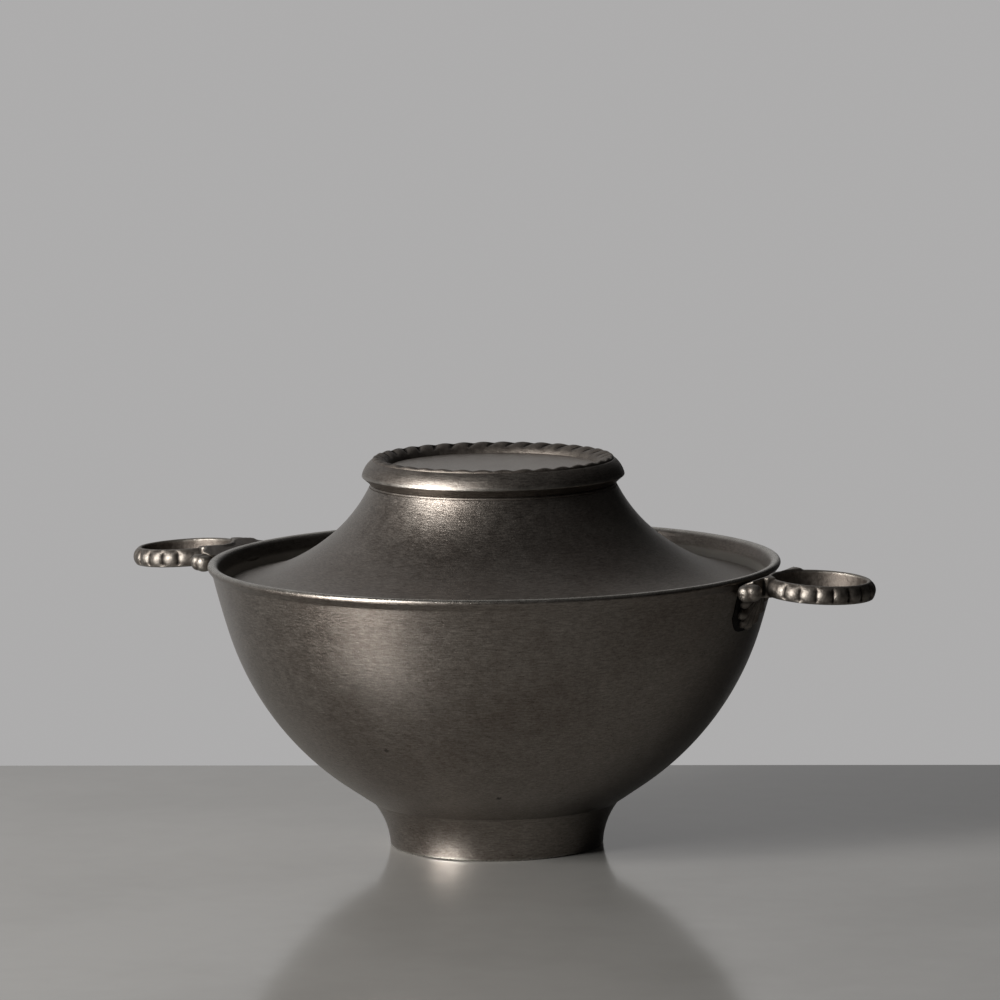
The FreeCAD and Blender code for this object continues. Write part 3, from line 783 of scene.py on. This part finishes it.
def wrap(mesh):
    """Bends a mesh that was made flat, with X out from the wall and Z up, round the wall."""
    flat = np.empty(len(mesh.vertices) * 3)
    mesh.vertices.foreach_get("co", flat)
    proud, across, up = flat.reshape(-1, 3).T / MM
    mesh.vertices.foreach_set("co", (on_wall(across, -up, proud) * MM).ravel())
    mesh.update()


def flute_mesh(name, length):
    """One flute: a teardrop that hangs from its root and swells to a round end."""
    outline = [(0.0, FLUTE_CAP)]
    steps = 14
    for i in range(steps + 1):
        t = i / steps
        outline.append((FLUTE_ROOT + (FLUTE_TIP - FLUTE_ROOT) * t ** FLUTE_SWELL, -length * t))
    for i in range(1, 6):
        a = math.radians(15 * i)
        outline.append((FLUTE_TIP * math.cos(a), -length - FLUTE_TIP * math.sin(a)))
    outline.append((0.0, -length - FLUTE_TIP))
    return turn(name, outline, handle_finish, segments=32)


def palmette_casting(name):
    """The fan on the right side. It is made flat, leaning out at its top, and is then wrapped on the wall."""
    lean = Matrix(((1, 0, FAN_FALL, FAN_PROUD * MM), (0, 1, 0, 0), (0, 0, 1, 0), (0, 0, 0, 1)))
    pieces = []
    for i in range(FLUTES):
        angle = math.radians((i - (FLUTES - 1) / 2) * FLUTE_STEP)
        length = FLUTE_LENGTH * (FLUTE_SIDE_SHARE + (1 - FLUTE_SIDE_SHARE) * math.cos(angle)) - FLUTE_TIP
        flute = flute_mesh(name + "_flute", length)
        flute.data.transform(lean @ Matrix.Rotation(angle, 4, "X"))
        pieces.append(flute.data)
        bpy.data.objects.remove(flute)
    fan = merge_cast(name, pieces, PALMETTE_VOXEL, 2)
    mark_hollows(fan.data, 16)
    wrap(fan.data)
    fan.data.materials.clear()
    fan.data.materials.append(handle_finish)
    return fan


def solder_bed(name, finish):
    """A thin skin of solder on the wall behind the yoke and the fan, with a round lower edge. Its finish also
    paints shade.
    """
    work = bmesh.new()
    steps = 24
    rows = []
    top = FAN_TOP_Z - BED_TOP_Z
    for i in range(steps + 1):
        across = BED_HALF * (2 * i / steps - 1)
        low = BED_DROP - BED_CORNER * (across / BED_HALF) ** 4
        section = ((-BED_SUNK, top), (BED_PROUD, top + BED_TOP_BEVEL),
                   (BED_PROUD, low - BED_LOW_BEVEL), (-BED_SUNK, low))
        rows.append([work.verts.new((x * MM, across * MM, -d * MM)) for x, d in section])
    for a, b in zip(rows, rows[1:]):
        for k in range(4):
            work.faces.new((a[k], a[(k + 1) % 4], b[(k + 1) % 4], b[k]))
    work.faces.new(rows[0][::-1])
    work.faces.new(rows[-1])
    long_edges = [e for e in work.edges if e.calc_length() > BED_FACE * MM]
    bmesh.ops.subdivide_edges(work, edges=long_edges, cuts=12)
    bmesh.ops.recalc_face_normals(work, faces=work.faces)
    mesh = bpy.data.meshes.new(name)
    work.to_mesh(mesh)
    work.free()
    wrap(mesh)
    mesh.materials.append(finish)
    return add_object(name, mesh)


# The bed's near-black finish is solder and painted shade round the fan together.
bed_solder_and_shade_finish = solder_finish("black_solder_and_painted_shade", BLACK_SOLDER_AND_SHADE)
for word, turn_by in HANDLE_TURNS.items():
    fan = palmette_casting("palmette_cast_" + word)
    turn_round(fan, turn_by)
    place(fan, "bowl", "pewter_casting", "palmette_" + word)
    bed = solder_bed("handle_bed_" + word, bed_solder_and_shade_finish)
    turn_round(bed, turn_by)
    place(bed, "bowl", "solder", "handle_solder_" + word)


# ==== lid =======================================================================================
# The lid is spun like the bowl. It rises from a nearly flat brim in one hollow sweep to the neck that carries
# the knob, and a narrow ring soldered under the brim keeps it central in the mouth.
LID_EDGE_RADIUS = 56.0
LID_WALL = 1.4
LID_TOP_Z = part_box("lid_shell")[1].z / MM
LID_SEAT_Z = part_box("lid_shell")[0].z / MM
NECK_RADIUS = 25.95
NECK_HEADING = 153.4
LID_SWEEP = [(32.5, -23.4), (43.0, -30.0)]
BRIM_HEADING = NECK_HEADING + sum(swing for _, swing in LID_SWEEP)
LID_EDGE_ROUND = 0.25
LID_RUBBED = ("radius", LID_EDGE_RADIUS - 0.7, LID_EDGE_RADIUS - 0.1, 0.6)
CEILING_RADIUS = NECK_RADIUS - 1.6
BEZEL_RADIUS = 53.2
BEZEL_WALL = 1.1
BEZEL_ROUND = 0.2
BEZEL_TUCK = 0.4


def lid_outline():
    """From the middle of the top out, down the flank, round the edge and back up inside."""
    start = (NECK_RADIUS, LID_TOP_Z)
    sweep_end = trace(start, NECK_HEADING, LID_SWEEP)[-1]
    brim = (LID_EDGE_RADIUS - LID_EDGE_ROUND - sweep_end[0]) / math.sin(math.radians(BRIM_HEADING))
    flank = trace(start, NECK_HEADING, LID_SWEEP + [(brim,)])
    edge = [(LID_EDGE_RADIUS, flank[-1][1] - LID_EDGE_ROUND), (LID_EDGE_RADIUS, LID_SEAT_Z + LID_EDGE_ROUND),
            (LID_EDGE_RADIUS - LID_EDGE_ROUND, LID_SEAT_Z), (BEZEL_RADIUS - BEZEL_WALL, LID_SEAT_Z)]
    below, legs = inset(start, NECK_HEADING, LID_SWEEP, -LID_WALL)
    underside = [p for p in trace(below, NECK_HEADING, legs) if p[0] < BEZEL_RADIUS - BEZEL_WALL]
    ceiling = LID_TOP_Z - LID_WALL
    return [(0.0, LID_TOP_Z)] + flank + edge + underside[::-1] + [(CEILING_RADIUS, ceiling), (0.0, ceiling)]


lid_finish = spun_pewter("lid_pewter", 42.0, LID_RUBBED)
lid = turn("lid_spun", lid_outline(), lid_finish, segments=BOWL_SEGMENTS)
place(lid, "lid", "pewter_shell", "lid_shell")

bezel_low, bezel_high = (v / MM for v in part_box("lid_bezel"))
bezel_outline = flat_ring(BEZEL_RADIUS - BEZEL_WALL, BEZEL_RADIUS, bezel_low.z, bezel_high.z - BEZEL_TUCK,
                          BEZEL_ROUND)
bezel = turn("lid_bezel_ring", bezel_outline, inner_finish, closed=True, segments=BOWL_SEGMENTS)
place(bezel, "lid", "pewter_shell", "lid_bezel")


# ==== knob ======================================================================================
# The knob is a low hollow drum. A spun band tucks in to its foot on the lid, a plain disc closes it, and a
# cast rope border with leaning strands runs round the disc. A bead of solder holds the foot.
KNOB_FOOT_RADIUS = 25.4
KNOB_FOOT_BEND = (25.5, 76.45)
KNOB_TUCK = (25.75, 76.5)
KNOB_LOW_EDGE = (27.3, 77.85)
KNOB_EDGE_BEND = (27.47, 78.0)
KNOB_WIDEST = (27.5, 78.2)
KNOB_FLANK = (26.75, 79.95)
KNOB_SHOULDER = (25.35, 81.4)
KNOB_BORE = 23.9
KNOB_FOOT_FLARE = 0.25
KNOB_RIM_WIDTH = 0.5
KNOB_RUBBED = ("radius", KNOB_WIDEST[0] - 0.2, KNOB_WIDEST[0] - 0.02, 0.45)
DISC_TOP_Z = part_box("knob_disc")[1].z / MM
DISC_BOTTOM_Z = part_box("knob_disc")[0].z / MM
ROPE_STRANDS = 36
ROPE_DEPTH = 0.8
ROPE_TWIST = 0.14
ROPE_STARTS = 0.3
ROPE_RISE = 0.6
ROPE_FADE = 1.4
STRAND_FACETS = 16
ROPE_INNER = (21.5, 79.95)
ROPE_CREST = (24.35, 82.05)
ROPE_OUTER = (25.3, 81.35)
ROPE_BACK_Z = 80.6
ROPE_BASE_Z = 79.5


def knob_outline():
    """Closed section of the band, from its foot out over the tuck and flank to the shoulder and bore."""
    foot = (KNOB_FOOT_RADIUS, KNOB_TUCK[1] - KNOB_FOOT_FLARE)
    return (arc(foot, KNOB_FOOT_BEND, KNOB_TUCK, 4) + [KNOB_TUCK]
            + arc(KNOB_LOW_EDGE, KNOB_EDGE_BEND, KNOB_WIDEST, 4)
            + arc(KNOB_WIDEST, KNOB_FLANK, KNOB_SHOULDER, 14)
            + [KNOB_SHOULDER, (KNOB_SHOULDER[0] - KNOB_RIM_WIDTH, KNOB_SHOULDER[1])]
            + [(KNOB_BORE, DISC_TOP_Z), (KNOB_BORE, LID_TOP_Z)])


knob_finish = spun_pewter("knob_pewter", 26.0, KNOB_RUBBED, tone=0.85, gloss=-0.07)
band = turn("knob_band_spun", knob_outline(), knob_finish, closed=True)
place(band, "lid", "pewter_shell", "knob_band")

# The disc is the knob's spun pewter made 1.3 times lighter: a painted reflection of the bright room behind
# it.
disc_reflection_finish = spun_pewter("disc_pewter_painted_reflection", 14.0, tone=1.3)
disc_outline = [(0.0, DISC_BOTTOM_Z), (KNOB_BORE, DISC_BOTTOM_Z),
                (KNOB_BORE, DISC_TOP_Z), (0.0, DISC_TOP_Z)]
disc = turn("knob_disc_plate", disc_outline, disc_reflection_finish)
place(disc, "lid", "pewter_shell", "knob_disc")

bead_top = (KNOB_FOOT_RADIUS - 0.1, LID_TOP_Z + 0.6)
bead_bulge = (KNOB_FOOT_RADIUS + 0.42, LID_TOP_Z + 0.35)
bead_foot = (KNOB_FOOT_RADIUS + 0.3, LID_TOP_Z - 0.1)
bead_heel = (KNOB_FOOT_RADIUS - 0.3, LID_TOP_Z - 0.1)
bead_outline = arc(bead_top, bead_bulge, bead_foot, 8) + [bead_foot, bead_heel]
bead = turn("knob_solder_bead", bead_outline, knob_finish, closed=True)
place(bead, "lid", "solder", "knob_solder")


def rope_border(name, finish):
    """The ring of rope, whose strands rise from the disc to the crest and die out down its outside."""
    inner_face = ((ROPE_INNER[0] + ROPE_CREST[0]) / 2 - 0.3, ROPE_CREST[1] - 0.75)
    outer_face = (ROPE_OUTER[0] - 0.15, ROPE_CREST[1] - 0.3)
    top = arc(ROPE_INNER, inner_face, ROPE_CREST, 20)
    fall = arc(ROPE_CREST, outer_face, ROPE_OUTER, 8)
    hidden = [ROPE_OUTER, (ROPE_OUTER[0] - 0.5, ROPE_BACK_Z), (ROPE_INNER[0] + 0.8, ROPE_BASE_Z)]
    outline = top + fall + hidden
    rising = [min(1.0, max(0.0, i / len(top) - ROPE_STARTS) / ROPE_RISE) for i in range(len(top))]
    fading = [max(0.0, 1.0 - ROPE_FADE * i / len(fall)) for i in range(len(fall))]
    ribbed = rising + fading + [0.0] * len(hidden)
    border = turn(name, outline, finish, closed=True, segments=STRAND_FACETS * ROPE_STRANDS, ribbed=ribbed)
    return gadroon(border, ROPE_STRANDS, ROPE_DEPTH, twist=ROPE_TWIST, sharpness=0.95)


rope_finish = cast_pewter("rope_pewter", 0.12, 0.1)
rope = rope_border("knob_rope_cast", rope_finish)
mark_hollows(rope.data, 30)
place(rope, "lid", "pewter_casting", "knob_rope_border")


# ==== studio ====================================================================================
# A plain polished floor whose far edge is skewed to look level in the tilted camera, and a grey room that is
# bright to the left and behind and dark to the right. One tall soft light stands at the front left.
CAMERA_TURN = 24.5
CAMERA_AWAY = 1233.8
CAMERA_HEIGHT = 232.15
CAMERA_PITCH = 7.366
CAMERA_ROLL = -0.59
CAMERA_YAW = 0.064
CAMERA_LENS = 214.0
SENSOR = 36.0
FLOOR_REACH = 3.0
FLOOR_BEHIND = 0.0936
FLOOR_SKEW = 0.056
FLOOR_GREY = (0.26, 0.255, 0.245)
FLOOR_CLOUD = (0.21, 0.205, 0.195)
FLOOR_CLOUD_SCALE = 12.0
FLOOR_FINE_SCALE = 160.0
FLOOR_RIPPLE_SCALE = 14.0
FLOOR_RIPPLE = 0.0004
ROOM_GREY = (0.42, 0.415, 0.415)
KEY_TURN = 56.0
KEY_RISE = 19.0
KEY_AWAY = 1.0
KEY_SIZE = (0.30, 0.66)
KEY_POWER = 21.5
KEY_COLOUR = (1.0, 0.985, 0.96)
KEY_AIM_HEIGHT = 45.0
ROOM_GLOOM = 0.012
BACKDROP_GLOW = 0.40
WINDOW_SIDE_GLOW = 0.22
CEILING_GLOW = 0.05

turned_by = math.radians(CAMERA_TURN)
into_scene = Vector((-math.sin(turned_by), math.cos(turned_by), 0))
to_right = Vector((math.cos(turned_by), math.sin(turned_by), 0))
upwards = Vector((0, 0, 1))


def add_camera():
    """A long lens, low at the front left, that looks a little down and is tilted a little."""
    yaw, pitch, roll = (math.radians(v) for v in (CAMERA_YAW, CAMERA_PITCH, CAMERA_ROLL))
    level = into_scene * math.cos(yaw) + to_right * math.sin(yaw)
    across = to_right * math.cos(yaw) - into_scene * math.sin(yaw)
    looking = level * math.cos(pitch) - upwards * math.sin(pitch)
    above = upwards * math.cos(pitch) + level * math.sin(pitch)
    x_axis = across * math.cos(roll) + above * math.sin(roll)
    y_axis = above * math.cos(roll) - across * math.sin(roll)
    data = bpy.data.cameras.new("camera")
    data.lens = CAMERA_LENS
    data.sensor_width = SENSOR
    camera = add_object("camera", data)
    turned = Matrix((x_axis, y_axis, -looking)).transposed().to_4x4()
    turned.translation = (-into_scene * CAMERA_AWAY + upwards * CAMERA_HEIGHT) * MM
    camera.matrix_world = turned
    bpy.context.scene.camera = camera


def add_key_light():
    """A tall soft window. Its turn is to the left of the camera, as seen from the bowl."""
    a, e = math.radians(KEY_TURN), math.radians(KEY_RISE)
    away = (-into_scene * math.cos(a) - to_right * math.sin(a)) * math.cos(e) + upwards * math.sin(e)
    data = bpy.data.lights.new("window", "AREA")
    data.shape = "RECTANGLE"
    data.size, data.size_y = KEY_SIZE
    data.energy = KEY_POWER
    data.color = KEY_COLOUR
    light = add_object("window", data)
    light.location = upwards * KEY_AIM_HEIGHT * MM + away * KEY_AWAY
    light.rotation_euler = (-away).to_track_quat("-Z", "Y").to_euler()


def floor_finish():
    """A pale stone top with a soft polish and faint clouds."""
    finish = bpy.data.materials.new("floor_grey")
    finish.use_nodes = True
    finish.node_tree.nodes.clear()
    tree = Tree(finish.node_tree)
    position = tree.node("ShaderNodeTexCoord", out="Object")
    clouds = tree.noise(position, FLOOR_CLOUD_SCALE, 4.0)
    fine = tree.noise(position, FLOOR_FINE_SCALE, 3.0)
    waves = tree.noise(position, FLOOR_RIPPLE_SCALE)
    colour = tree.blend(clouds.step(0.35, 0.7) * 0.7 + (fine - 0.5) * 0.4, FLOOR_GREY, FLOOR_CLOUD)
    ripple = tree.node("ShaderNodeBump", None, {"Strength": 0.35, "Distance": FLOOR_RIPPLE, "Height": waves})
    shader = tree.node("ShaderNodeBsdfPrincipled", None,
                       {"Base Color": colour, "Roughness": 0.09 + fine * 0.05, "Normal": ripple})
    tree.node("ShaderNodeOutputMaterial", None, {"Surface": shader})
    return finish


def add_floor():
    back = [FLOOR_BEHIND + side * FLOOR_SKEW * FLOOR_REACH for side in (-1, 1)]
    places = ((-1, -FLOOR_REACH), (1, -FLOOR_REACH), (1, back[0]), (-1, back[1]))
    corners = [to_right * side * FLOOR_REACH + into_scene * depth for side, depth in places]
    mesh = bpy.data.meshes.new("floor")
    mesh.from_pydata(corners, [], [(0, 1, 2, 3)])
    mesh.materials.append(floor_finish())
    add_object("floor", mesh)


def add_room():
    """What the metal mirrors is brighter to the left and behind. The camera itself sees plain grey."""
    world = bpy.data.worlds.new("room")
    world.use_nodes = True
    world.node_tree.nodes.clear()
    tree = Tree(world.node_tree)
    direction = tree.node("ShaderNodeTexCoord", out="Generated")

    def towards(axis):
        return tree.node("ShaderNodeVectorMath", {"operation": "DOT_PRODUCT"},
                         {0: direction, 1: tuple(axis)}, out="Value")

    behind = towards(into_scene).step(0.05, 0.7)
    left = towards(-to_right)
    overhead = towards(upwards).step(0.25, 0.95)
    backdrop = behind * left.step(-0.42, 0.02) * BACKDROP_GLOW
    window_side = left.step(0.25, 0.95) * (1 - overhead) * WINDOW_SIDE_GLOW
    level = ROOM_GLOOM + backdrop.sum("MAXIMUM", backdrop, window_side) + overhead * CEILING_GLOW
    seen = tree.node("ShaderNodeLightPath", out="Is Camera Ray")
    glow = tree.node("ShaderNodeBackground", None, {"Color": (1.0, 0.99, 0.985, 1.0), "Strength": level})
    plain = tree.node("ShaderNodeBackground", None, {"Color": (*ROOM_GREY, 1.0), "Strength": 1.0})
    both = tree.node("ShaderNodeMixShader", None, {0: seen, 1: glow, 2: plain})
    tree.node("ShaderNodeOutputWorld", None, {"Surface": both})
    bpy.context.scene.world = world


add_camera()
add_floor()
add_room()
add_key_light()
bpy.context.scene.view_settings.view_transform = "Standard"
